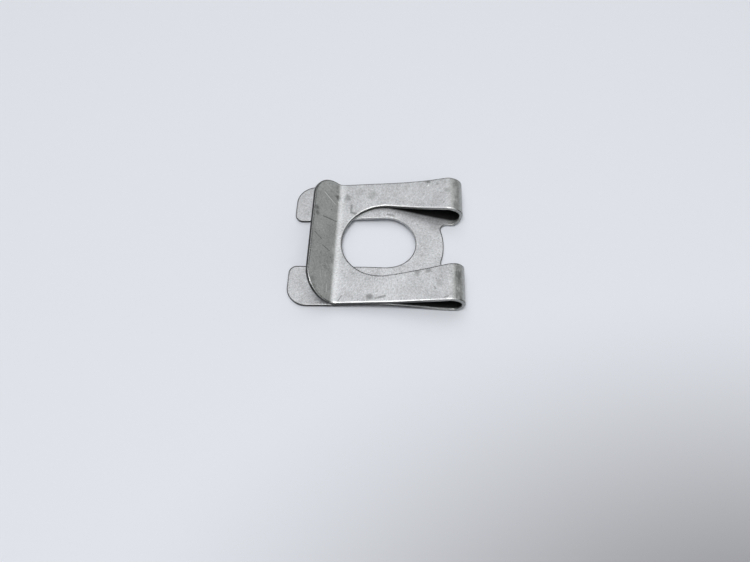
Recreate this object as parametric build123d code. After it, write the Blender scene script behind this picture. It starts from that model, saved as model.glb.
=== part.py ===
from build123d import *

import os
from math import asin, atan2, cos, degrees, hypot, radians, sin

# Heat shield clip: one strip of spring steel, folded once over itself.
# The lower leaf is a fork that slides into the groove of a stud. Two arms leave it,
# roll up and back as open loops, and return as the upper leaf, whose wide opening
# snaps round the stud's head. The upper leaf ends in a lip, bent up for a finger or tool.
# Millimetres and degrees. The origin is the centre of the stud's seat: the centre of the
# slot's round end, halfway through the sheet. +X is towards the loops. The clip is modelled
# with its fork level, and is then laid as it rests, on its loops and the tips of its fork.

# ---- sheet ----
thickness = 0.6
width = 26.0
arm_flare = 0.12  # how far each arm's outer edge swells where it is rolled
flare_start_x = 6.0
edge_break = 0.09  # how far the shears turn over the outer skin's edges

# ---- loops, rolled tighter at the nose than above it; radii are of the outer skin ----
nose_x = 14.13
nose_z = 0.25
lower_roll_radius = 2.12
nose_roll_radius = 1.95
nose_roll_angle = 45.0
upper_roll_radius = 2.9
nose_gap = 5.75  # half of the gap between the two arms at the nose

# ---- lower leaf in side view, from the loops to the fork's tips ----
lower_entry = 4.0  # slope at which the leaf leaves the loops
entry_bend_radius = 38.5
lower_slope = 8.9
slope_run = 6.06
crest_bend_radius = 23.0
crest_run = 2.5
fork_bend_radius = 27.0
fork_bend_angle = 5.8  # down and back to level, so that the fork clears the upper leaf
fork_run = 9.0  # longer than the fork, which its plan cuts to length

# ---- lower leaf in plan ----
fork_tip_x = -17.3
fork_outer_corner = 3.6
fork_inner_corner = 1.4
seat_radius = 5.5
seat_lean = 7.4  # the sheet's slope across the seat, which is pierced square to it
slot_taper = 1.8  # each side of the slot closes in by this angle towards the mouth
bridge_radius = 11.45
bridge_centre_x = -0.86
root_gap = 4.87  # half of the gap between the two arms where they leave the leaf
root_fillet = 1.25
straight_gap_x = 12.3  # where the upright cut between the arms ends
widening_reach = 0.9  # the gap widens this far to each side of the middle of the roll's turn
widening_corner = 0.7
widening_start = 1.3  # how far ahead of that middle its cut takes over from the upright one

# ---- upper leaf in side view, from the loops to the lip ----
upper_entry = 10.5
upper_bend_radius = 83.0
upper_slope = 3.0
upper_run = 8.5
lip_bend_radius = 1.4  # on the face that the lip leans over
lip_angle = 48.5
lip_run = 5.2
lip_corner = 5.0

# ---- upper leaf in plan ----
head_radius = 7.64
head_centre_x = -0.36
window_taper = 8.4  # each side of the opening closes in by this angle towards the nose
window_corner = 4.0  # eases the sides into the straight gap at the nose

nose_inner_x = nose_x - thickness
loop_x = nose_x - lower_roll_radius  # where the loops reach lowest
beyond = 30.0  # past everything, for cuts that run through
tolerance = 0.001


def skin(start_x, steps, hand, inset):
    """Joins runs and bends end to end from the nose, as one skin of the strip in side view.

    A step is (length, 0) for a straight run, or (radius, turn) for a bend. Turns are
    positive towards the inside of the fold. The inset is the depth below the outer skin.
    """
    edges = []
    point, direction = Vector(start_x, nose_z), Vector(0, hand)
    for size, turn in steps:
        if turn == 0:
            edge = Line(point, point + direction * size)
        else:
            radius = size - inset if turn > 0 else size + inset
            edge = JernArc(point, direction, radius, hand * turn)
        edges.append(edge)
        point, direction = edge @ 1, edge % 1
    return edges


def bent_strip(steps, hand):
    """Returns an over-wide length of strip, bent along the steps upwards (1) or downwards (-1)."""
    outer = skin(nose_x, steps, hand, 0)
    inner = skin(nose_inner_x, steps, hand, thickness)
    nose = Line(outer[0] @ 0, inner[0] @ 0)
    end = Line(outer[-1] @ 1, inner[-1] @ 1)
    section = make_face([*outer, end, *inner, nose])
    return extrude(Plane.XZ * section, width, both=True)


def mirrored_outline(*points):
    """Returns the face bounded by points on the +Y side and their mirror images."""
    return make_face(Polyline(*points, *[(x, -y) for x, y in reversed(points)], close=True))


def tapered_opening(radius, taper, far_x):
    """Returns a round end at the origin with two tangent sides that close in towards far_x."""
    lean = radians(taper if far_x > 0 else -taper)
    tangent = (radius * sin(lean), radius * cos(lean))
    far = (far_x, (radius - far_x * sin(lean)) / cos(lean))
    return mirrored_outline(tangent, far) + Circle(radius)


def strip_outline(left_x):
    """Returns the plan between the strip's outer edges, from left_x to past the nose."""
    half = width / 2
    swell = Spline(
        (flare_start_x, half),
        (loop_x, half + arm_flare),
        (nose_x, half),
        tangents=((1, 0), (1, -0.1)),
    )
    rest = Polyline(swell @ 1, (beyond, half), (beyond, 0), (left_x, 0), (left_x, half), swell @ 0)
    plan = make_face([swell, *rest.edges()])
    return plan + mirror(plan, Plane.XZ)


def arm_gap():
    """Returns the cut between the two arms, from the bridge of the lower leaf to the nose.

    It is upright through the leaf, and then square to the middle of the roll's quarter turn,
    where the gap widens.
    """
    straight = mirrored_outline((0, root_gap), (straight_gap_x, root_gap))
    straight -= Pos(bridge_centre_x, 0) * Circle(bridge_radius)
    straight = fillet(straight.vertices().group_by(Axis.X)[0], root_fillet)
    widening = mirrored_outline(
        (-widening_start, root_gap),
        (-widening_reach, root_gap),
        (widening_reach, nose_gap),
        (lower_roll_radius, nose_gap),
    )
    turns = widening.vertices().filter_by_position(Axis.X, -widening_reach, widening_reach)
    widening = fillet(turns, widening_corner)
    roll = Plane(origin=(loop_x, 0, nose_z), x_dir=(1, 0, 1), z_dir=(1, 0, -1))
    return extrude(straight, beyond, both=True) + extrude(roll * widening, beyond)


def head_window():
    """Returns the upper leaf's opening, about the centre of the stud's head."""
    window = tapered_opening(head_radius, window_taper, beyond)
    window += mirrored_outline((0, nose_gap), (beyond, nose_gap))
    turns = window.vertices().filter_by_position(Axis.X, head_radius, beyond, (True, False))
    return fillet(turns, window_corner)


def pierce(leaf, opening, x, lean):
    """Cuts an opening at x, square to a leaf that falls towards +X by the lean."""
    slope = radians(lean)
    sheet = Plane(origin=(x, 0, 0), x_dir=(cos(slope), 0, -sin(slope)), z_dir=(sin(slope), 0, cos(slope)))
    return leaf - extrude(sheet * opening, beyond, both=True)


def sheared(leaf, steps, hand):
    """Breaks a leaf's edges on its outer skin, all but the joins from one step to the next."""
    outer = skin(nose_x, steps, hand, 0)
    path = Wire(outer)
    joins = [edge @ 0 for edge in outer]

    def is_sheared(edge):
        """Tells whether an edge lies on the outer skin and isn't a join."""
        points = [Vector(point.X, point.Z) for point in (edge @ 0, edge @ 0.5, edge @ 1)]
        on_skin = all(path.distance_to(point) < tolerance for point in points)
        is_join = any(all((point - join).length < tolerance for point in points) for join in joins)
        return on_skin and not is_join

    return chamfer(leaf.edges().filter_by(is_sheared), edge_break)


def corners(leaf):
    """Returns the short edges that cross the sheet square from skin to skin."""
    return leaf.edges().filter_by(lambda edge: abs(edge.length - thickness) < tolerance)


lower_steps = [
    (lower_roll_radius, 90 + lower_entry),
    (entry_bend_radius, lower_slope - lower_entry),
    (slope_run, 0),
    (crest_bend_radius, -lower_slope),
    (crest_run, 0),
    (fork_bend_radius, -fork_bend_angle),
    (fork_bend_radius, fork_bend_angle),
    (fork_run, 0),
]
upper_steps = [
    (nose_roll_radius, nose_roll_angle),
    (upper_roll_radius, 90 - nose_roll_angle + upper_entry),
    (upper_bend_radius, upper_slope - upper_entry),
    (upper_run, 0),
    (lip_bend_radius, -(upper_slope + lip_angle)),
    (lip_run, 0),
]

lower_leaf = bent_strip(lower_steps, -1) & extrude(strip_outline(fork_tip_x), beyond, both=True)
lower_leaf -= arm_gap()
slot = tapered_opening(seat_radius, slot_taper, -beyond)
lower_leaf = pierce(lower_leaf, slot, 0, seat_lean)
tips = corners(lower_leaf).group_by(Axis.X)[0].sort_by(Axis.Y)
lower_leaf = fillet([tips[0], tips[-1]], fork_outer_corner)
tips = corners(lower_leaf).group_by(Axis.X)[0].filter_by_position(Axis.Y, -seat_radius, seat_radius)
lower_leaf = fillet(tips, fork_inner_corner)

upper_leaf = bent_strip(upper_steps, 1) & extrude(strip_outline(-beyond), beyond, both=True)
upper_leaf = pierce(upper_leaf, head_window(), head_centre_x, -upper_slope)
upper_leaf = fillet(corners(upper_leaf).group_by(Axis.Z)[-1], lip_corner)

clip = sheared(lower_leaf, lower_steps, -1) + sheared(upper_leaf, upper_steps, 1)

# Laid at rest: the line from the fork's tips to the underside of the loops becomes level.
fork_z = (skin(nose_x, lower_steps, -1, 0)[-1] @ 1).Y
reach_x = loop_x - fork_tip_x
reach_z = nose_z - fork_z
rest_angle = degrees(asin(lower_roll_radius / hypot(reach_x, reach_z)) - atan2(reach_z, reach_x))
clip = Rot(0, -rest_angle, 0) * clip

os.makedirs("parts", exist_ok=True)
export_step(clip, "parts/heat_shield_clip.step")
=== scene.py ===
"""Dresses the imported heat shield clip: its spring steel, a pale floor, studio light and a camera.

Lengths in this file are in millimetres unless a name ends in _m, and Blender's are in metres.
The row frame is the clip's own: +X towards the loops, +Z up, the origin at the stud's seat.
Near and far are towards -Y and +Y.
"""

import logging
from dataclasses import dataclass, field
from enum import Enum
from functools import reduce
from math import cos, pi, radians, sin
from typing import Sequence, Union

import bmesh
import bpy
from mathutils import Matrix, Vector


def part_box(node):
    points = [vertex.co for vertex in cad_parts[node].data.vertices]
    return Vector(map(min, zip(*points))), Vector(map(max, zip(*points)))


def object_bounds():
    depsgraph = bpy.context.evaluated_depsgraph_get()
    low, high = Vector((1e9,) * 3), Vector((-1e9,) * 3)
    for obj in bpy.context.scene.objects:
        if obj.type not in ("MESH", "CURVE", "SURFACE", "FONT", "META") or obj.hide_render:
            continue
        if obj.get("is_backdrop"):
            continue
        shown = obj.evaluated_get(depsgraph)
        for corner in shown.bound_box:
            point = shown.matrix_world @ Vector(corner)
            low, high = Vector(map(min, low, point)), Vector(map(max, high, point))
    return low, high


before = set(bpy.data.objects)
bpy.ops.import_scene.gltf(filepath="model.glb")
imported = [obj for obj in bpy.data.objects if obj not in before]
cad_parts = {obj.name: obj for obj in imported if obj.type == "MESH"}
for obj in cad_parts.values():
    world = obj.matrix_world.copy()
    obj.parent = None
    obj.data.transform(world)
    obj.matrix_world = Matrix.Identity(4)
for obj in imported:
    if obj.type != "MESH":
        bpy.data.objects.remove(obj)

log = logging.getLogger("heat_shield_clip")

MM = 0.001
CLIP_NODE = "heat_shield_clip"

EDGE_SAMPLES = 8  # rays that feel for the sheet's edges at each point

ALONG = (1.0, 0.0, 0.0)
ACROSS = (0.0, 1.0, 0.0)
UP = (0.0, 0.0, 1.0)

Colour = tuple[float, float, float]
Point = tuple[float, float, float]
Span = tuple[float, float]
Socket = bpy.types.NodeSocket
Value = Union[Socket, float, Sequence[float]]


class Tone(Enum):
    """Whether a mark on the steel is darker or lighter than what is round it."""

    DARK = 0
    LIGHT = 1


@dataclass(frozen=True)
class Ramp:
    """A smooth step, which goes from low at start to high at end.

    Attributes:
        start: The value at which it begins, which may be above end.
        end: The value at which it is complete.
        low: The result before start.
        high: The result after end.
    """

    start: float
    end: float
    low: float = 0.0
    high: float = 1.0


@dataclass(frozen=True)
class Grain:
    """The fineness of a noise.

    Attributes:
        per_mm: Lumps to a millimetre.
        detail: How many finer layers lie on the lumps.
        rough: How strong each layer is beside the one before.
    """

    per_mm: float
    detail: float = 3.0
    rough: float = 0.5


class Graph:
    """Builds shader nodes in one node tree, and returns sockets, so that formulas read as code."""

    def __init__(self, tree: bpy.types.NodeTree) -> None:
        """Clears the tree and starts afresh.

        Args:
            tree: The node tree of a material or a world.
        """
        self.tree = tree
        tree.nodes.clear()

    def node(self, kind: str, **settings: object) -> bpy.types.Node:
        """Adds a node.

        Args:
            kind: The node's type name in Blender.
            settings: Properties to set on it.

        Returns:
            The new node.
        """
        made = self.tree.nodes.new(kind)
        for name, value in settings.items():
            setattr(made, name, value)
        return made

    def feed(self, socket: Socket, value: Value) -> None:
        """Links a socket to another, or sets its own value.

        Args:
            socket: The input to feed.
            value: A socket, a number or a sequence of numbers.
        """
        if isinstance(value, Socket):
            self.tree.links.new(value, socket)
        else:
            socket.default_value = value

    def fed(self, kind: str, values: Sequence[Value], **settings: object) -> bpy.types.Node:
        """Adds a node and feeds its inputs in their order.

        Args:
            kind: The node's type name in Blender.
            values: What its first inputs are fed.
            settings: Properties to set on it.

        Returns:
            The new node.
        """
        made = self.node(kind, **settings)
        for socket, value in zip(made.inputs, values):
            self.feed(socket, value)
        return made

    def math(self, operation: str, *values: Value, clamp: bool = False) -> Socket:
        """Returns the result of a Math node on one to three numbers or sockets."""
        return self.fed("ShaderNodeMath", values, operation=operation, use_clamp=clamp).outputs[0]

    def product(self, *values: Value) -> Socket:
        """Returns the product of several numbers."""
        return reduce(lambda first, second: self.math("MULTIPLY", first, second), values)

    def strongest(self, values: Sequence[Value]) -> Socket:
        """Returns the greatest of several numbers."""
        return reduce(lambda first, second: self.math("MAXIMUM", first, second), values)

    def remainder(self, share: Value) -> Socket:
        """Returns what a share leaves of the whole."""
        return self.math("SUBTRACT", 1.0, share)

    def vector(self, operation: str, *values: Value) -> Socket:
        """Returns the vector result of a Vector Math node."""
        return self.fed("ShaderNodeVectorMath", values, operation=operation).outputs["Vector"]

    def measure(self, operation: str, *values: Value) -> Socket:
        """Returns the number that a Vector Math node gives, such as a dot product or a length."""
        return self.fed("ShaderNodeVectorMath", values, operation=operation).outputs["Value"]

    def scaled(self, vector: Value, factor: Value) -> Socket:
        """Returns a vector times a number.

        Args:
            vector: A socket or a sequence of three numbers.
            factor: A socket or a number.

        Returns:
            The scaled vector.
        """
        made = self.fed("ShaderNodeVectorMath", (vector,), operation="SCALE")
        self.feed(made.inputs["Scale"], factor)
        return made.outputs["Vector"]

    def parts(self, vector: Socket) -> Sequence[Socket]:
        """Returns the X, Y and Z of a vector."""
        return self.fed("ShaderNodeSeparateXYZ", (vector,)).outputs

    def ramp(self, value: Value, step: Ramp) -> Socket:
        """Adds a smooth step.

        Args:
            value: The number or socket that drives it.
            step: What it goes from and to.

        Returns:
            The stepped value.
        """
        made = self.node("ShaderNodeMapRange", interpolation_type="SMOOTHSTEP", clamp=True)
        self.feed(made.inputs["Value"], value)
        limits = (step.start, step.end, step.low, step.high)
        if step.start > step.end:
            limits = (step.end, step.start, step.high, step.low)
        for name, limit in zip(("From Min", "From Max", "To Min", "To Max"), limits):
            made.inputs[name].default_value = limit
        return made.outputs["Result"]

    def noise_node(self, place: Socket, grain: Grain) -> bpy.types.Node:
        """Adds a noise.

        Args:
            place: The place that it is read at.
            grain: Its fineness.

        Returns:
            The new node.
        """
        made = self.node("ShaderNodeTexNoise")
        self.feed(made.inputs["Vector"], place)
        made.inputs["Scale"].default_value = grain.per_mm
        made.inputs["Detail"].default_value = grain.detail
        made.inputs["Roughness"].default_value = grain.rough
        return made

    def noise(self, place: Socket, grain: Grain) -> Socket:
        """Returns a noise from about 0.3 to 0.7."""
        return self.noise_node(place, grain).outputs["Fac"]

    def shaken(self, place: Socket, grain: Grain, reach: float) -> Socket:
        """Moves a place a little to and fro, so that what is drawn there comes out ragged.

        Args:
            place: The place.
            grain: The fineness of the shake.
            reach: Twice the furthest that it can move.

        Returns:
            The shaken place.
        """
        colour = self.noise_node(place, grain).outputs["Color"]
        shift = self.vector("SUBTRACT", colour, (0.5, 0.5, 0.5))
        return self.vector("MULTIPLY_ADD", shift, (reach, reach, reach), place)

    def blend(self, share: Value, first: Value, second: Value) -> Socket:
        """Mixes two colours.

        Args:
            share: The share of the second, from 0 to 1.
            first: A socket, or a tuple of red, green and blue.
            second: The same.

        Returns:
            The mixed colour.
        """
        made = self.node("ShaderNodeMix", data_type="RGBA")  # its sockets 6, 7 and 2 are colours
        for index, value in zip((0, 6, 7), (share, first, second)):
            self.feed(made.inputs[index], (*value, 1.0) if isinstance(value, tuple) else value)
        return made.outputs[2]

    def mix(self, share: Value, first: Value, second: Value) -> Socket:
        """Mixes two numbers.

        Args:
            share: The share of the second, from 0 to 1.
            first: A socket or a number.
            second: The same.

        Returns:
            The mixed number.
        """
        made = self.node("ShaderNodeMix", data_type="FLOAT")  # its sockets 2, 3 and 0 are numbers
        for index, value in zip((0, 2, 3), (share, first, second)):
            self.feed(made.inputs[index], value)
        return made.outputs[0]


@dataclass(frozen=True)
class Surface:
    """What the steel's material reads at each point of the clip.

    Attributes:
        graph: The material's nodes.
        place: The point, in millimetres.
        x: Its X.
        y: Its Y.
        z: Its Z.
        normal: The sheet's normal.
        turned: The normal with the sheet's edges turned over.
        shading: The same, on the world's axes, as a shader takes it.
        cloud: The coating's broad unevenness.
        grain: The coating's grain.
    """

    graph: Graph
    place: Socket
    x: Socket
    y: Socket
    z: Socket
    normal: Socket
    turned: Socket
    shading: Socket
    cloud: Socket
    grain: Socket

    @classmethod
    def read(cls, graph: Graph, turned_edge: float, cloud: Grain, grain: Grain) -> "Surface":
        """Adds the nodes that read the surface.

        Args:
            graph: The material's nodes.
            turned_edge: Radius to which the shears turned the sheet's edges over.
            cloud: Fineness of the coating's broad unevenness.
            grain: Fineness of its grain.

        Returns:
            The surface.
        """
        coordinates = graph.node("ShaderNodeTexCoord")
        place = graph.scaled(coordinates.outputs["Object"], 1 / MM)
        bevel = graph.fed("ShaderNodeBevel", (turned_edge * MM,), samples=EDGE_SAMPLES)
        shading = bevel.outputs["Normal"]
        own_axes = graph.fed("ShaderNodeVectorTransform", (shading,), vector_type="NORMAL")
        x, y, z = graph.parts(place)
        return cls(
            graph=graph,
            place=place,
            x=x,
            y=y,
            z=z,
            normal=coordinates.outputs["Normal"],
            turned=own_axes.outputs[0],
            shading=shading,
            cloud=graph.noise(place, cloud),
            grain=graph.noise(place, grain),
        )

    def facing(self, way: Point) -> Socket:
        """Returns how squarely the surface faces a way, with its edges turned over."""
        return self.graph.measure("DOT_PRODUCT", self.turned, way)

    def aligned(self, way: Point) -> Socket:
        """Returns how squarely the surface faces a way or its opposite."""
        return self.graph.math("ABSOLUTE", self.facing(way))

    def off_middle(self) -> Socket:
        """Returns the distance to either side of the clip's middle."""
        return self.graph.math("ABSOLUTE", self.y)


@dataclass(frozen=True)
class Smudge:
    """A soft dark or light smudge with a ragged edge.

    Attributes:
        centre: Its middle, on the steel.
        radius: How far it reaches.
        strength: The share of the colour that it takes or gives.
        tone: Whether it darkens or lightens.
        core: The share of its radius within which it is at its full strength.
    """

    centre: Point
    radius: float
    strength: float
    tone: Tone = Tone.DARK
    core: float = 0.25

    def mask(self, graph: Graph, place: Socket) -> Socket:
        """Returns the smudge's strength at a place that has been shaken beforehand."""
        away = graph.measure("DISTANCE", place, self.centre)
        return graph.ramp(away, Ramp(self.radius, self.radius * self.core, 0.0, self.strength))


@dataclass(frozen=True)
class Scratch:
    """A straight scratch.

    Attributes:
        start: One end, on the steel.
        end: The other end.
        half_width: Half of its width.
        strength: The share of the colour that it takes or gives.
        tone: Whether it darkens or lightens.
        core: The share of its half width within which it is at its full strength.
    """

    start: Point
    end: Point
    half_width: float
    strength: float
    tone: Tone = Tone.DARK
    core: float = 0.3

    def mask(self, graph: Graph, place: Socket) -> Socket:
        """Works out the scratch's strength.

        Args:
            graph: The material's nodes.
            place: The place, which has been shaken beforehand.

        Returns:
            The strength at that place.
        """
        along = Vector(self.end) - Vector(self.start)
        from_start = graph.vector("SUBTRACT", place, self.start)
        share = graph.measure("DOT_PRODUCT", from_start, tuple(along / along.length_squared))
        foot = graph.scaled(tuple(along), graph.math("MULTIPLY", share, 1.0, clamp=True))
        away = graph.measure("DISTANCE", from_start, foot)
        fade = Ramp(self.half_width, self.half_width * self.core, 0.0, self.strength)
        return graph.ramp(away, fade)


@dataclass(frozen=True)
class Band:
    """A stripe across the strip, from one edge to the other.

    Attributes:
        rises: X at which it starts, and X at which it is complete.
        falls: X at which it begins to end, and X at which it has ended.
    """

    rises: Span
    falls: Span

    def mask(self, graph: Graph, x: Socket) -> Socket:
        """Returns 1 within the stripe and 0 outside it."""
        falling = Ramp(*self.falls, 1.0, 0.0)
        return graph.product(graph.ramp(x, Ramp(*self.rises)), graph.ramp(x, falling))


@dataclass(frozen=True)
class Pits:
    """Small dark pits, at most one to each cell of the coating.

    Attributes:
        per_mm: Cells to a millimetre.
        spot: A pit's strength by the distance from its middle, in cells.
        chosen: Which cells have a pit, by a number from 0 to 1 that each draws.
    """

    per_mm: float = 1.2
    spot: Ramp = Ramp(0.2, 0.06, 0.0, 0.6)
    chosen: Ramp = Ramp(0.4, 0.7)

    def mask(self, surface: Surface) -> Socket:
        """Works out the pits' strength.

        Args:
            surface: The steel's surface.

        Returns:
            The strength at each point.
        """
        graph = surface.graph
        cells = graph.node("ShaderNodeTexVoronoi", feature="F1")
        graph.feed(cells.inputs["Vector"], surface.place)
        cells.inputs["Scale"].default_value = self.per_mm
        drawn = graph.measure("DOT_PRODUCT", cells.outputs["Color"], ALONG)
        spot = graph.ramp(cells.outputs["Distance"], self.spot)
        return graph.product(spot, graph.ramp(drawn, self.chosen))


@dataclass(frozen=True)
class Marks:
    """What the press and use have left on the sheet's faces, and a painted highlight beside the
    lip's bend.

    Attributes:
        grime_and_shade: Colour that dark marks tend to, and the painted shade on the lit rims.
        bright: Colour that light marks tend to, and of the painted highlights beside the lip's bend
            and on the upper leaf's lit rims.
        rough: Roughness of dark marks.
        pits: Small dark pits.
        bend_highlight: Stripe beside the lip's bend, lightened as a painted highlight.
        lit_share: How strongly that painted highlight shows, by the coating's grain.
        worn: Stripe round the loops' turn, where the coating has flaked.
        flake: Fineness of the flakes.
        flake_stretch: How much finer they are along X, Y and Z.
        flaked: How far the coating has flaked, by that noise.
        nearer: How strongly the flakes show, by Y.
        shake: Fineness of the marks' raggedness.
        smudge_reach: How ragged stains are.
        scratch_reach: How far scratches wander.
        thin: Fineness of the thin places in scratches.
        thinned: How strong scratches are left, by that noise.
        smudges: Single stains.
        scratches: Single scratches.
    """

    grime_and_shade: Colour = (0.16, 0.165, 0.16)
    bright: Colour = (0.95, 0.96, 0.96)
    rough: float = 0.6
    pits: Pits = Pits()
    bend_highlight: Band = Band((-9.4, -9.1), (-8.6, -7.4))
    lit_share: Ramp = Ramp(0.25, 0.6, 0.12, 0.3)
    worn: Band = Band((12.1, 12.5), (13.0, 13.8))
    flake: Grain = Grain(0.9)
    flake_stretch: Point = (1.8, 0.6, 1.8)
    flaked: Ramp = Ramp(0.38, 0.58)
    nearer: Ramp = Ramp(4.0, -4.0, 0.5, 0.85)
    shake: Grain = Grain(1.1)
    smudge_reach: float = 1.2
    scratch_reach: float = 0.25
    thin: Grain = Grain(1.7, 2.0)
    thinned: Ramp = Ramp(0.3, 0.55, 0.65, 1.0)
    smudges: Sequence[Smudge] = (
        # the lip
        Smudge((-9.4, 9.7, 0.7), 0.85, 0.9),
        Smudge((-9.2, 8.7, 0.6), 0.22, 0.9, Tone.LIGHT),
        Smudge((-9.6, 12.0, 0.9), 0.7, 0.4),
        Smudge((-9.5, 10.9, 0.8), 0.6, 0.4),
        Smudge((-12.6, 4.9, 4.1), 0.8, 0.8),
        Smudge((-12.5, 3.7, 3.9), 0.7, 0.7),
        Smudge((-10.3, 6.1, 1.6), 0.25, 0.9),
        Smudge((-12.2, -10.0, 3.6), 0.8, 0.5),
        Smudge((-11.8, -11.2, 3.2), 0.6, 0.5),
        Smudge((-9.7, -1.0, 1.0), 0.2, 0.6),
        Smudge((-9.7, -4.2, 1.0), 0.25, 0.6),
        Smudge((-10.6, -9.0, 2.0), 2.2, 0.1, Tone.LIGHT),
        Smudge((-9.2, -2.4, 0.5), 1.1, 0.3, Tone.LIGHT),
        Smudge((-9.2, -5.8, 0.5), 1.1, 0.3, Tone.LIGHT),
        # the far arm
        Smudge((-7.5, 9.8, 0.4), 1.1, 0.5),
        Smudge((-5.2, 11.1, 0.6), 1.3, 0.25),
        Smudge((-2.9, 10.2, 0.9), 1.4, 0.3),
        Smudge((7.6, 12.6, 2.2), 0.6, 0.75),
        Smudge((7.7, 11.8, 2.2), 0.3, 0.9, Tone.LIGHT),
        Smudge((9.3, 11.9, 2.6), 0.35, 0.5),
        Smudge((9.9, 10.6, 2.7), 0.25, 0.5),
        Smudge((10.5, 7.5, 2.8), 0.35, 0.5),
        Smudge((11.2, 10.2, 3.0), 0.7, 0.4),
        Smudge((12.8, 11.8, 2.7), 0.8, 0.45),
        # the near arm
        Smudge((-2.4, -11.9, 0.9), 1.0, 0.7),
        Smudge((-2.0, -8.3, 0.9), 0.2, 0.5),
        Smudge((-5.6, -7.1, 0.6), 0.3, 0.4),
        Smudge((5.9, -7.3, 1.9), 0.9, 0.5),
        Smudge((7.6, -7.0, 2.2), 0.8, 0.5),
        Smudge((8.7, -10.7, 2.4), 0.4, 0.5),
        Smudge((9.6, -9.8, 2.6), 0.9, 0.25),
        Smudge((12.9, -9.5, 2.6), 1.3, 0.55),
        Smudge((13.0, -11.8, 2.6), 1.0, 0.5),
        Smudge((12.8, -6.6, 2.6), 0.8, 0.5),
    )
    scratches: Sequence[Scratch] = (
        # the lip
        Scratch((-11.6, 9.1, 3.0), (-9.7, 7.8, 1.0), 0.11, 0.85, Tone.LIGHT),
        Scratch((-11.6, 9.4, 3.0), (-9.6, 8.0, 0.9), 0.08, 0.5),
        Scratch((-11.5, 11.2, 2.9), (-9.3, 10.4, 0.6), 0.07, 0.45, Tone.LIGHT),
        Scratch((-11.5, 3.7, 2.9), (-9.3, 4.1, 0.6), 0.17, 0.9),
        Scratch((-12.6, -0.5, 4.0), (-11.4, -1.3, 2.8), 0.14, 0.85),
        Scratch((-11.1, -2.5, 2.5), (-10.0, -2.9, 1.3), 0.15, 0.9),
        Scratch((-10.6, -6.4, 1.9), (-9.8, -7.0, 1.1), 0.09, 0.5),
        Scratch((-10.0, -9.8, 1.3), (-9.9, -11.3, 1.2), 0.09, 0.7, Tone.LIGHT),
        Scratch((-10.8, -9.8, 2.1), (-10.4, -10.9, 1.8), 0.08, 0.5, Tone.LIGHT),
        Scratch((-10.5, -5.6, 1.9), (-9.9, -6.4, 1.2), 0.08, 0.5, Tone.LIGHT),
        Scratch((-11.2, -7.6, 2.6), (-11.0, -9.0, 2.4), 0.08, 0.4, Tone.LIGHT),
        Scratch((-10.4, -7.6, 1.7), (-10.2, -8.9, 1.5), 0.09, 0.5, Tone.LIGHT),
        # the far arm, and below it
        Scratch((-6.7, 8.0, 0.5), (-6.7, 6.4, 0.5), 0.33, 0.55),
        Scratch((-6.7, 6.4, 0.5), (-5.7, 5.9, 0.6), 0.4, 0.65),
        Scratch((0.1, 6.2, 0.3), (1.2, 6.0, 0.3), 0.28, 0.55),
        # the near arm
        Scratch((-7.9, -12.6, 0.4), (-7.4, -11.6, 0.4), 0.18, 0.6),
        Scratch((-1.4, -12.2, 1.0), (0.2, -11.8, 1.2), 0.32, 0.65),
        Scratch((-3.5, -8.3, 0.8), (-2.6, -8.5, 0.9), 0.12, 0.4),
        Scratch((10.4, -12.7, 2.8), (11.0, -12.5, 2.9), 0.18, 0.6),
        Scratch((9.6, -11.6, 2.6), (10.5, -11.7, 2.8), 0.09, 0.5, Tone.LIGHT),
    )

    def strengths(self, surface: Surface) -> tuple[Socket, Socket]:
        """Works out how strongly the marks darken and lighten the faces.

        Args:
            surface: The steel's surface.

        Returns:
            The strengths of the dark and of the light marks; the light ones hold the painted
            highlight beside the lip's bend.
        """
        graph = surface.graph
        masks = {Tone.DARK: [self.pits.mask(surface)], Tone.LIGHT: []}
        ragged = graph.shaken(surface.place, self.shake, self.smudge_reach)
        for smudge in self.smudges:
            masks[smudge.tone].append(smudge.mask(graph, ragged))
        wandering = graph.shaken(surface.place, self.shake, self.scratch_reach)
        thinned = graph.ramp(graph.noise(wandering, self.thin), self.thinned)
        for scratch in self.scratches:
            masks[scratch.tone].append(graph.product(thinned, scratch.mask(graph, wandering)))
        # painted highlight beside the lip's bend, patchy by the coating's grain
        lit_share = graph.ramp(surface.grain, self.lit_share)
        masks[Tone.LIGHT].append(graph.product(self.bend_highlight.mask(graph, surface.x), lit_share))
        masks[Tone.DARK].append(self.flaking(surface))
        return graph.strongest(masks[Tone.DARK]), graph.strongest(masks[Tone.LIGHT])

    def flaking(self, surface: Surface) -> Socket:
        """Works out how strongly the flaked coating darkens the loops.

        Args:
            surface: The steel's surface.

        Returns:
            The strength.
        """
        graph = surface.graph
        stretched = graph.vector("MULTIPLY", surface.place, self.flake_stretch)
        flaked = graph.ramp(graph.noise(stretched, self.flake), self.flaked)
        return graph.product(
            self.worn.mask(graph, surface.x), flaked, graph.ramp(surface.y, self.nearer)
        )


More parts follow.
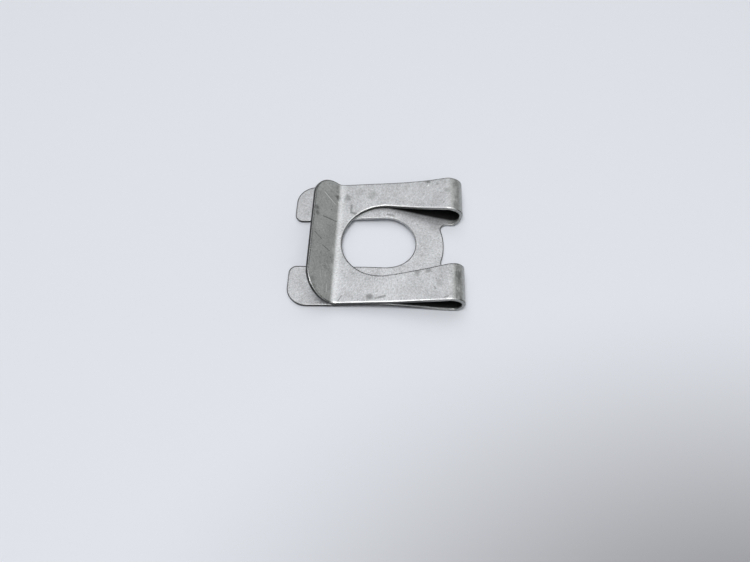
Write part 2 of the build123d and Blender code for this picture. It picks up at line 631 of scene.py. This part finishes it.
@dataclass(frozen=True)
class Coating:
    """The satin zinc on the sheet's faces.

    Attributes:
        zinc: Its colour.
        shade_and_tint: Colour on the lip and the loops' turn: painted shade, as they lean away from
            the light, with a slight olive tint of their own.
        on_lip: Where the shade and tint set in on the lip, by X.
        over_fork: The same by Z, because the fork lies below the lip.
        on_loops: Where the shade and tint set in on the loops, by X.
        cloud: Fineness of its broad unevenness.
        grain: Fineness of its grain.
        fine: Fineness of the finest specks.
        cloud_tone: Brightness by the broad unevenness.
        grain_tone: Brightness that the grain adds.
        fine_tone: Brightness that the specks add.
        rough: Its roughness.
        grain_rough: Roughness that the grain adds.
        relief: Height of the grain.
        cloud_relief: Height of the broad unevenness, as a multiple of the grain's.
    """

    zinc: Colour = (0.585, 0.592, 0.607)
    shade_and_tint: Colour = (0.80, 0.80, 0.775)
    on_lip: Ramp = Ramp(-8.9, -9.4)
    over_fork: Ramp = Ramp(0.0, 0.3)
    on_loops: Ramp = Ramp(10.9, 12.3)
    cloud: Grain = Grain(0.32, 4.0)
    grain: Grain = Grain(2.8, 3.0, 0.6)
    fine: Grain = Grain(5.5, 2.0)
    cloud_tone: Ramp = Ramp(0.3, 0.7, 0.90, 1.06)
    grain_tone: Ramp = Ramp(0.25, 0.75, -0.17, 0.14)
    fine_tone: Ramp = Ramp(0.3, 0.7, -0.17, 0.14)
    rough: float = 0.47
    grain_rough: Ramp = Ramp(0.3, 0.7, -0.05, 0.07)
    relief: float = 0.004
    cloud_relief: float = 6.0

    def colour(self, surface: Surface) -> Socket:
        """Works out the clean coating's colour, with the painted shade on the lip and the loops'
        turn.

        Args:
            surface: The steel's surface.

        Returns:
            The colour.
        """
        graph = surface.graph
        tone = graph.math(
            "ADD",
            graph.ramp(surface.cloud, self.cloud_tone),
            graph.ramp(surface.grain, self.grain_tone),
        )
        fine = graph.noise(surface.place, self.fine)
        tone = graph.math("ADD", tone, graph.ramp(fine, self.fine_tone))
        lip = graph.product(
            graph.ramp(surface.x, self.on_lip), graph.ramp(surface.z, self.over_fork)
        )
        loops = graph.ramp(surface.x, self.on_loops)
        # painted shade on the lip and the loops' turn, with their slight olive tint
        tint = graph.blend(graph.strongest((lip, loops)), (1.0, 1.0, 1.0), self.shade_and_tint)
        return graph.scaled(graph.vector("MULTIPLY", self.zinc, tint), tone)

    def roughness(self, surface: Surface) -> Socket:
        """Returns the clean coating's roughness."""
        uneven = surface.graph.ramp(surface.grain, self.grain_rough)
        return surface.graph.math("ADD", self.rough, uneven)

    def embossed(self, surface: Surface) -> Socket:
        """Works out the normal with the coating's relief on it.

        Args:
            surface: The steel's surface.

        Returns:
            The normal, on the world's axes.
        """
        graph = surface.graph
        bump = graph.node("ShaderNodeBump")
        bump.inputs["Strength"].default_value = 1.0
        bump.inputs["Distance"].default_value = self.relief * MM
        height = graph.math("ADD", surface.grain, graph.product(surface.cloud, self.cloud_relief))
        graph.feed(bump.inputs["Height"], height)
        graph.feed(bump.inputs["Normal"], surface.shading)
        return bump.outputs["Normal"]


@dataclass(frozen=True)
class FoldShade:
    """Painted shade on the faces that look into the fold, darkest where the leaves close in.

    Attributes:
        core: X and Z of the middle of the space inside the loops.
        inwards: How dark a face is, by how it leans from the core.
        inner_y: The loops' openings towards the gap.
        outer_y: The loops' openings on the clip's outer sides.
        approach: How far the dark comes towards the gap for each millimetre along the loops.
        past_inner: How dark it is, by the distance in from the gap's side.
        past_outer: How dark it is, by the distance in from the outer side.
        past_crest: How dark it is, by X.
        window: Middle of the wide opening.
        past_window: How dark it is beside the opening, by the distance from its middle.
        beside_window: The stripe in which it is dark there.
        depth: The share of its brightness that the painted shade takes from the darkest face.
    """

    core: Span = (10.5, 1.55)
    inwards: Ramp = Ramp(-0.1, -0.5)
    inner_y: float = 4.8
    outer_y: float = 13.1
    approach: float = 0.15
    past_inner: Ramp = Ramp(2.55, 3.1)
    past_outer: Ramp = Ramp(0.05, 0.4)
    past_crest: Ramp = Ramp(-1.5, 1.0)
    window: Point = (-0.36, 0.0, 0.0)
    past_window: Ramp = Ramp(7.5, 7.7)
    beside_window: Band = Band((-7.6, -7.0), (-0.5, 1.5))
    depth: float = 0.94

    def in_loops(self, surface: Surface) -> Socket:
        """Works out how far a point is into the loops, and into the fold ahead of them.

        Args:
            surface: The steel's surface.

        Returns:
            How strong the painted shade is there.
        """
        graph = surface.graph
        across = surface.off_middle()
        from_gap = graph.math("SUBTRACT", across, self.inner_y)
        from_inner = graph.math("MULTIPLY_ADD", surface.x, self.approach, from_gap)
        from_outer = graph.math("SUBTRACT", self.outer_y, across)
        return graph.product(
            graph.ramp(from_inner, self.past_inner),
            graph.ramp(from_outer, self.past_outer),
            graph.ramp(surface.x, self.past_crest),
        )

    def round_window(self, surface: Surface) -> Socket:
        """Works out how far a point is under the upper leaf, beside the wide opening.

        Args:
            surface: The steel's surface.

        Returns:
            How strong the painted shade is there.
        """
        graph = surface.graph
        from_middle = graph.vector("SUBTRACT", surface.place, self.window)
        in_plan = graph.vector("MULTIPLY", from_middle, (1.0, 1.0, 0.0))
        beyond = graph.ramp(graph.measure("LENGTH", in_plan), self.past_window)
        return graph.product(beyond, self.beside_window.mask(graph, surface.x))

    def brightness(self, surface: Surface) -> Socket:
        """Works out what brightness the painted shade leaves to the faces.

        Args:
            surface: The steel's surface.

        Returns:
            The share of brightness that is left.
        """
        graph = surface.graph
        x, z = self.core
        from_core = graph.vector("SUBTRACT", surface.place, (x, 0.0, z))
        outwards = graph.vector("MULTIPLY", from_core, (1.0, 0.0, 1.0))
        lean = graph.measure("DOT_PRODUCT", surface.normal, outwards)
        deep = graph.strongest((self.in_loops(surface), self.round_window(surface)))
        return graph.remainder(graph.product(graph.ramp(lean, self.inwards), deep, self.depth))


@dataclass(frozen=True)
class Forms:
    """Tells the clip's forms apart by where a point lies.

    Attributes:
        divide_rise: Rise of the plane between the leaves, for each millimetre along X.
        divide_z: Its height at the origin.
        divide_floor: Its least height.
        upper: The upper leaf's share, by the height above that plane.
        slot_length: The stripe that the slot lies in.
        slot_half: The slot's share, by the distance from the clip's middle.
    """

    divide_rise: float = 0.12
    divide_z: float = 0.7
    divide_floor: float = 0.2
    upper: Ramp = Ramp(-0.1, 0.1)
    slot_length: Band = Band((-8.5, -6.5), (6.2, 6.5))
    slot_half: Ramp = Ramp(6.5, 6.2)

    def upper_leaf(self, surface: Surface) -> Socket:
        """Works out whether a point is on the upper leaf.

        Args:
            surface: The steel's surface.

        Returns:
            1 on the upper leaf and 0 on the lower one.
        """
        graph = surface.graph
        plane = graph.math("MULTIPLY_ADD", surface.x, self.divide_rise, self.divide_z)
        divide = graph.math("MAXIMUM", plane, self.divide_floor)
        return graph.ramp(graph.math("SUBTRACT", surface.z, divide), self.upper)

    def slot(self, surface: Surface, upper: Socket) -> Socket:
        """Works out whether a point is at the lower leaf's slot.

        Args:
            surface: The steel's surface.
            upper: The upper leaf's share.

        Returns:
            1 at the slot and 0 away from it.
        """
        graph = surface.graph
        return graph.product(
            self.slot_length.mask(graph, surface.x),
            graph.ramp(surface.off_middle(), self.slot_half),
            graph.remainder(upper),
        )


@dataclass(frozen=True)
class Cut:
    """The sheet's sheared edges.

    Attributes:
        leaf: Colour on the leaves.
        loop: Colour on the loops.
        slot: Colour of the slot's walls, lightened as a painted reflection of the pale floor.
        towards_loops: How the leaves' colour gives way to the loops', by X.
        tearing: Fineness of the torn streaks.
        tearing_stretch: How much finer they are along X, Y and Z.
        torn: Brightness by that noise.
        rough: Roughness.
        lip_lean: The lip's lean from upright to the sheet's normal, in degrees.
        lip: The lip's share, by X.
        loops: The loops' share, by X.
        off_leaf: The cut's share on a leaf, by how flat the surface lies.
        off_lip: The same on the lip, by how squarely the surface faces as the lip does.
        off_loops: The same on the loops, by how squarely it faces across the clip.
    """

    leaf: Colour = (0.055, 0.055, 0.055)
    loop: Colour = (0.36, 0.365, 0.36)
    slot: Colour = (0.5, 0.505, 0.51)
    towards_loops: Ramp = Ramp(4.0, 10.0)
    tearing: Grain = Grain(1.4, 2.0)
    tearing_stretch: Point = (1.2, 1.2, 5.0)
    torn: Ramp = Ramp(0.3, 0.7, 0.7, 1.25)
    rough: float = 0.5
    lip_lean: float = 51.0
    lip: Ramp = Ramp(-8.9, -9.0)
    loops: Ramp = Ramp(10.9, 11.0)
    off_leaf: Ramp = Ramp(0.6, 0.4)
    off_lip: Ramp = Ramp(0.5, 0.3)
    off_loops: Ramp = Ramp(0.75, 0.9)

    def mask(self, surface: Surface) -> Socket:
        """Works out where the sheet is cut.

        Args:
            surface: The steel's surface.

        Returns:
            1 on the sheared edges and 0 on the sheet's faces.
        """
        graph = surface.graph
        lean = radians(self.lip_lean)
        on_leaf = graph.ramp(surface.aligned(UP), self.off_leaf)
        on_lip = graph.ramp(surface.aligned((sin(lean), 0.0, cos(lean))), self.off_lip)
        on_loops = graph.ramp(surface.aligned(ACROSS), self.off_loops)
        cut = graph.mix(graph.ramp(surface.x, self.lip), on_leaf, on_lip)
        return graph.mix(graph.ramp(surface.x, self.loops), cut, on_loops)

    def colour(self, surface: Surface, slot: Socket) -> Socket:
        """Works out the sheared edges' colour.

        Args:
            surface: The steel's surface.
            slot: The slot's share.

        Returns:
            The colour.
        """
        graph = surface.graph
        stretched = graph.vector("MULTIPLY", surface.place, self.tearing_stretch)
        torn = graph.ramp(graph.noise(stretched, self.tearing), self.torn)
        colour = graph.blend(graph.ramp(surface.x, self.towards_loops), self.leaf, self.loop)
        # the slot's walls take a painted reflection of the pale floor
        return graph.scaled(graph.blend(slot, colour, self.slot), torn)


@dataclass(frozen=True)
class Rim:
    """The rims of the sheet's faces, which the shears turned over, with painted shade and
    highlights on them.

    Attributes:
        dark: Colour of rims that face away from the light, a painted shade.
        lit_way: The way towards the light that lit rims face.
        lit_share: How far a rim faces the light, by how squarely it faces that way.
        shade_share: The share of grime_and_shade in a lit rim, a painted shade.
        highlight_share: The share of painted highlight in a lit rim of the upper leaf.
        turned: The rim's share, by how far the surface leans from the sheet.
        underneath: How far a rim faces down, by Z of its normal.
        far_side: How far the painted rim colour is left off the slot's near rim, by Y of its
            normal.
        rough: Roughness.
    """

    dark: Colour = (0.02, 0.022, 0.022)
    lit_way: Point = (-0.2, -0.55, 0.81)
    lit_share: Ramp = Ramp(0.68, 0.9)
    shade_share: float = 0.6
    highlight_share: float = 0.85
    turned: Ramp = Ramp(0.998, 0.98)
    underneath: Ramp = Ramp(0.0, -0.2)
    far_side: Ramp = Ramp(0.1, 0.4, 0.0, 0.7)
    rough: float = 0.3

    def mask(self, surface: Surface, slot: Socket) -> Socket:
        """Works out where the sheet is turned over.

        Args:
            surface: The steel's surface.
            slot: The slot's share, where the painted rim colour is left off the lower rims and the
                near one.

        Returns:
            1 on the rims and 0 away from them.
        """
        graph = surface.graph
        turn = graph.measure("DOT_PRODUCT", surface.turned, surface.normal)
        underneath = graph.ramp(surface.facing(UP), self.underneath)
        far_side = graph.ramp(surface.facing(ACROSS), self.far_side)
        # leaves the painted rim colour off the slot's lower rims and its near rim
        rim_left_off = graph.product(slot, graph.strongest((underneath, far_side)))
        return graph.product(graph.ramp(turn, self.turned), graph.remainder(rim_left_off))

    def colour(self, surface: Surface, skin: Socket, upper: Socket, marks: Marks) -> Socket:
        """Works out the rims' colour: painted shade, and painted highlights where they face the
        light.

        Args:
            surface: The steel's surface.
            skin: The colour of the face.
            upper: The upper leaf's share.
            marks: The marks, whose grime_and_shade and bright colours make the lit rims.

        Returns:
            The colour.
        """
        graph = surface.graph
        # painted highlight where a rim faces the light, painted shade elsewhere
        lit_share = graph.ramp(surface.facing(self.lit_way), self.lit_share)
        shaded_rim = graph.blend(self.shade_share, skin, marks.grime_and_shade)
        highlighted_rim = graph.blend(graph.product(upper, self.highlight_share), shaded_rim, marks.bright)
        return graph.blend(lit_share, self.dark, highlighted_rim)


@dataclass(frozen=True)
class SpringSteel:
    """Satin, zinc-coated spring steel, with darker sheared edges.

    Attributes:
        coating: The zinc on the sheet's faces.
        marks: What the press and use have left on it, and a painted highlight beside the lip's
            bend.
        fold_shade: Painted shade on the faces inside the fold, and under the upper leaf beside the
            wide opening.
        forms: Where the leaves and the slot are.
        cut: The sheared edges, with a painted reflection on the slot's walls.
        rim: The rims of the faces, with painted shade and highlights.
        turned_edge: Radius to which the shears turned the sheet's edges over.
        metal: How metallic it is. The rest is the zinc's matt bloom.
    """

    coating: Coating = Coating()
    marks: Marks = Marks()
    fold_shade: FoldShade = FoldShade()
    forms: Forms = Forms()
    cut: Cut = Cut()
    rim: Rim = Rim()
    turned_edge: float = 0.37
    metal: float = 0.75

    def material(self) -> bpy.types.Material:
        """Makes the steel's material.

        Returns:
            The material.
        """
        made = bpy.data.materials.new("satin_spring_steel")
        made.use_nodes = True
        graph = Graph(made.node_tree)
        surface = Surface.read(graph, self.turned_edge, self.coating.cloud, self.coating.grain)
        upper = self.forms.upper_leaf(surface)
        slot = self.forms.slot(surface, upper)

        # the light marks hold the painted highlight beside the lip's bend
        dark, light = self.marks.strengths(surface)
        skin = graph.blend(dark, self.coating.colour(surface), self.marks.grime_and_shade)
        skin = graph.blend(light, skin, self.marks.bright)
        # painted shade inside the fold and under the upper leaf
        skin = graph.scaled(skin, self.fold_shade.brightness(surface))
        # painted shade and highlights on the rims
        rim = self.rim.mask(surface, slot)
        skin = graph.blend(rim, skin, self.rim.colour(surface, skin, upper, self.marks))
        cut = self.cut.mask(surface)
        colour = graph.blend(cut, skin, self.cut.colour(surface, slot))

        rough = graph.mix(dark, self.coating.roughness(surface), self.marks.rough)
        rough = graph.mix(cut, rough, self.cut.rough)
        rough = graph.mix(rim, rough, self.rim.rough)

        shader = graph.node("ShaderNodeBsdfPrincipled")
        shader.inputs["Metallic"].default_value = self.metal
        graph.feed(shader.inputs["Base Color"], colour)
        graph.feed(shader.inputs["Roughness"], rough)
        graph.feed(shader.inputs["Normal"], self.coating.embossed(surface))
        output = graph.node("ShaderNodeOutputMaterial")
        graph.feed(output.inputs["Surface"], shader.outputs["BSDF"])
        return made


@dataclass(frozen=True)
class PaleBoard:
    """The matt, slightly blue board that the clip lies on, with a broad grey painted shadow on one
    corner.

    Attributes:
        colour: Its colour.
        shade: Colour that the painted shadow tends to.
        shade_middle: Middle of the painted shadow.
        shade_squash: How much narrower the shade is along X, Y and Z.
        shading: How strong the shade is, by the distance from its middle.
        rough: Its roughness.
        gloss: Its specular level.
    """

    colour: Colour = (0.755, 0.772, 0.82)
    shade: Colour = (0.06, 0.045, 0.04)
    shade_middle: Point = (62.0, -85.0, 0.0)
    shade_squash: Point = (1.0, 1.4, 0.0)
    shading: Ramp = Ramp(110.0, 20.0, 0.0, 0.72)
    rough: float = 0.75
    gloss: float = 0.2

    def material(self) -> bpy.types.Material:
        """Makes the board's material.

        Returns:
            The material.
        """
        made = bpy.data.materials.new("pale_board")
        made.use_nodes = True
        graph = Graph(made.node_tree)
        coordinates = graph.node("ShaderNodeTexCoord")
        place = graph.scaled(coordinates.outputs["Object"], 1 / MM)
        # painted shadow on one corner of the board
        from_middle = graph.vector("SUBTRACT", place, self.shade_middle)
        squashed = graph.vector("MULTIPLY", from_middle, self.shade_squash)
        shaded = graph.ramp(graph.measure("LENGTH", squashed), self.shading)
        shader = graph.node("ShaderNodeBsdfPrincipled")
        graph.feed(shader.inputs["Base Color"], graph.blend(shaded, self.colour, self.shade))
        shader.inputs["Roughness"].default_value = self.rough
        shader.inputs["Specular IOR Level"].default_value = self.gloss
        output = graph.node("ShaderNodeOutputMaterial")
        graph.feed(output.inputs["Surface"], shader.outputs["BSDF"])
        return made


@dataclass
class Clip:
    """The clip itself: one folded strip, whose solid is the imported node.

    Attributes:
        finish: The steel that it is made of.
    """

    finish: SpringSteel = field(default_factory=SpringSteel)

    def dress(self) -> bpy.types.Object:
        """Gives the node its material.

        Returns:
            The dressed object.
        """
        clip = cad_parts[CLIP_NODE]
        steel = self.finish.material()
        for slot in clip.material_slots:
            slot.material = steel
        return clip


@dataclass(frozen=True)
class SoftBox:
    """A square lamp with a diffusing front, which faces the clip.

    Attributes:
        name: What it is called.
        place: Where it hangs.
        size: Its side.
        glow: The brightness of its front, where 1 is white.
    """

    name: str
    place: Point
    size: float
    glow: float

    def hang(self) -> bpy.types.Object:
        """Makes the lamp.

        Returns:
            The lamp.
        """
        data = bpy.data.lights.new(self.name, "AREA")
        data.shape = "SQUARE"
        data.size = self.size * MM
        data.energy = self.glow * pi * data.size**2
        made = bpy.data.objects.new(self.name, data)
        made.location = Vector(self.place) * MM
        made.rotation_mode = "QUATERNION"
        made.rotation_quaternion = Vector(self.place).to_track_quat("Z", "Y")
        bpy.context.scene.collection.objects.link(made)
        return made


@dataclass
class Studio:
    """The floor, the sky and the lamps.

    Attributes:
        board: What the floor is made of.
        floor_half: Half of the floor's side.
        lamps: The soft boxes.
        overhead: The sky's colour above.
        dim_wall: The sky's colour near the horizon, to the left and behind.
        pale_wall: The sky's colour near the horizon, to the right.
        pale_way: The direction, in plan, in which the horizon is palest.
        paling: The pale wall's share, by how squarely a direction goes that way.
        rising: The share of the sky above, by the sine of a direction's height.
    """

    board: PaleBoard = field(default_factory=PaleBoard)
    floor_half: float = 600.0
    lamps: Sequence[SoftBox] = (
        SoftBox("window_box", (60.0, 235.0, 700.0), 950.0, 0.88),
        SoftBox("ceiling_box", (-60.0, -200.0, 680.0), 250.0, 11.0),
    )
    overhead: Colour = (0.32, 0.33, 0.34)
    dim_wall: Colour = (0.14, 0.145, 0.14)
    pale_wall: Colour = (0.40, 0.42, 0.39)
    pale_way: Point = (0.95, -0.3, 0.0)
    paling: Ramp = Ramp(-0.1, 0.6)
    rising: Ramp = Ramp(0.3, 0.8)

    def floor(self, height_m: float) -> bpy.types.Object:
        """Makes the floor.

        Args:
            height_m: The level that the clip rests on, in metres.

        Returns:
            The floor object.
        """
        mesh = bpy.data.meshes.new("floor")
        shape = bmesh.new()
        bmesh.ops.create_grid(shape, x_segments=1, y_segments=1, size=self.floor_half * MM)
        bmesh.ops.translate(shape, verts=shape.verts, vec=(0, 0, height_m))
        shape.to_mesh(mesh)
        shape.free()
        made = bpy.data.objects.new("floor", mesh)
        mesh.materials.append(self.board.material())
        bpy.context.scene.collection.objects.link(made)
        made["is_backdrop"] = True
        return made

    def sky(self) -> bpy.types.World:
        """Makes a sky that is darker towards the horizon, and paler there to the right.

        Returns:
            The scene's world.
        """
        world = bpy.data.worlds.new("studio_sky")
        world.use_nodes = True
        graph = Graph(world.node_tree)
        direction = graph.node("ShaderNodeTexCoord").outputs["Generated"]
        _, _, up = graph.parts(direction)
        way = graph.measure("DOT_PRODUCT", direction, self.pale_way)
        wall = graph.blend(graph.ramp(way, self.paling), self.dim_wall, self.pale_wall)
        background = graph.node("ShaderNodeBackground")
        colour = graph.blend(graph.ramp(up, self.rising), wall, self.overhead)
        graph.feed(background.inputs["Color"], colour)
        output = graph.node("ShaderNodeOutputWorld")
        graph.feed(output.inputs["Surface"], background.outputs["Background"])
        bpy.context.scene.world = world
        return world


@dataclass
class Viewpoint:
    """The camera.

    Attributes:
        place: Where it stands.
        dip: Its angle below the horizon, in degrees.
        heading: The turn of its view from +Y towards +X, in degrees.
        roll: Its turn about its own line of sight, clockwise, in degrees.
        lens: Focal length.
        sensor: Width of the sensor.
        nearest: The nearest that it sees.
        furthest: The furthest that it sees.
    """

    place: Point = (2.595, -66.904, 99.815)
    dip: float = 59.467
    heading: float = -4.115
    roll: float = 2.155
    lens: float = 31.432
    sensor: float = 36.0
    nearest: float = 1.0
    furthest: float = 10_000.0

    def camera(self) -> bpy.types.Object:
        """Makes the scene's camera.

        Returns:
            The camera.
        """
        data = bpy.data.cameras.new("viewpoint")
        data.lens = self.lens
        data.sensor_width = self.sensor
        data.clip_start = self.nearest * MM
        data.clip_end = self.furthest * MM
        made = bpy.data.objects.new("viewpoint", data)
        turn = Matrix.Rotation(-radians(self.heading), 4, "Z")
        tip = Matrix.Rotation(radians(90 - self.dip), 4, "X")
        spin = Matrix.Rotation(-radians(self.roll), 4, "Z")
        made.matrix_world = Matrix.Translation(Vector(self.place) * MM) @ turn @ tip @ spin
        bpy.context.scene.collection.objects.link(made)
        bpy.context.scene.camera = made
        return made


def box_as_lists() -> list[list[float]]:
    """Returns the shown object's lowest and highest corners, in metres, as plain lists."""
    bpy.context.view_layer.update()
    return [list(corner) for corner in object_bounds()]


def main() -> None:
    """Dresses the clip, and makes the studio and the camera."""
    logging.basicConfig(level=logging.INFO, format="%(message)s")
    bpy.context.scene.view_settings.view_transform = "Standard"
    cad_box = box_as_lists()

    clip = Clip().dress()
    log.info("%s: %d faces, %s", clip.name, len(clip.data.polygons), clip.active_material.name)

    lowest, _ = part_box(CLIP_NODE)
    studio = Studio()
    floor = studio.floor(lowest.z)
    log.info("%s at %.4f m", floor.name, lowest.z)
    for lamp in studio.lamps:
        log.info("%s, %.2f W", lamp.name, lamp.hang().data.energy)
    log.info("%s", studio.sky().name)
    camera = Viewpoint().camera()
    log.info("%s, lens %.2f mm", camera.name, camera.data.lens)

    {"cad": cad_box, "visual": box_as_lists()}


if __name__ == "__main__":
    main()
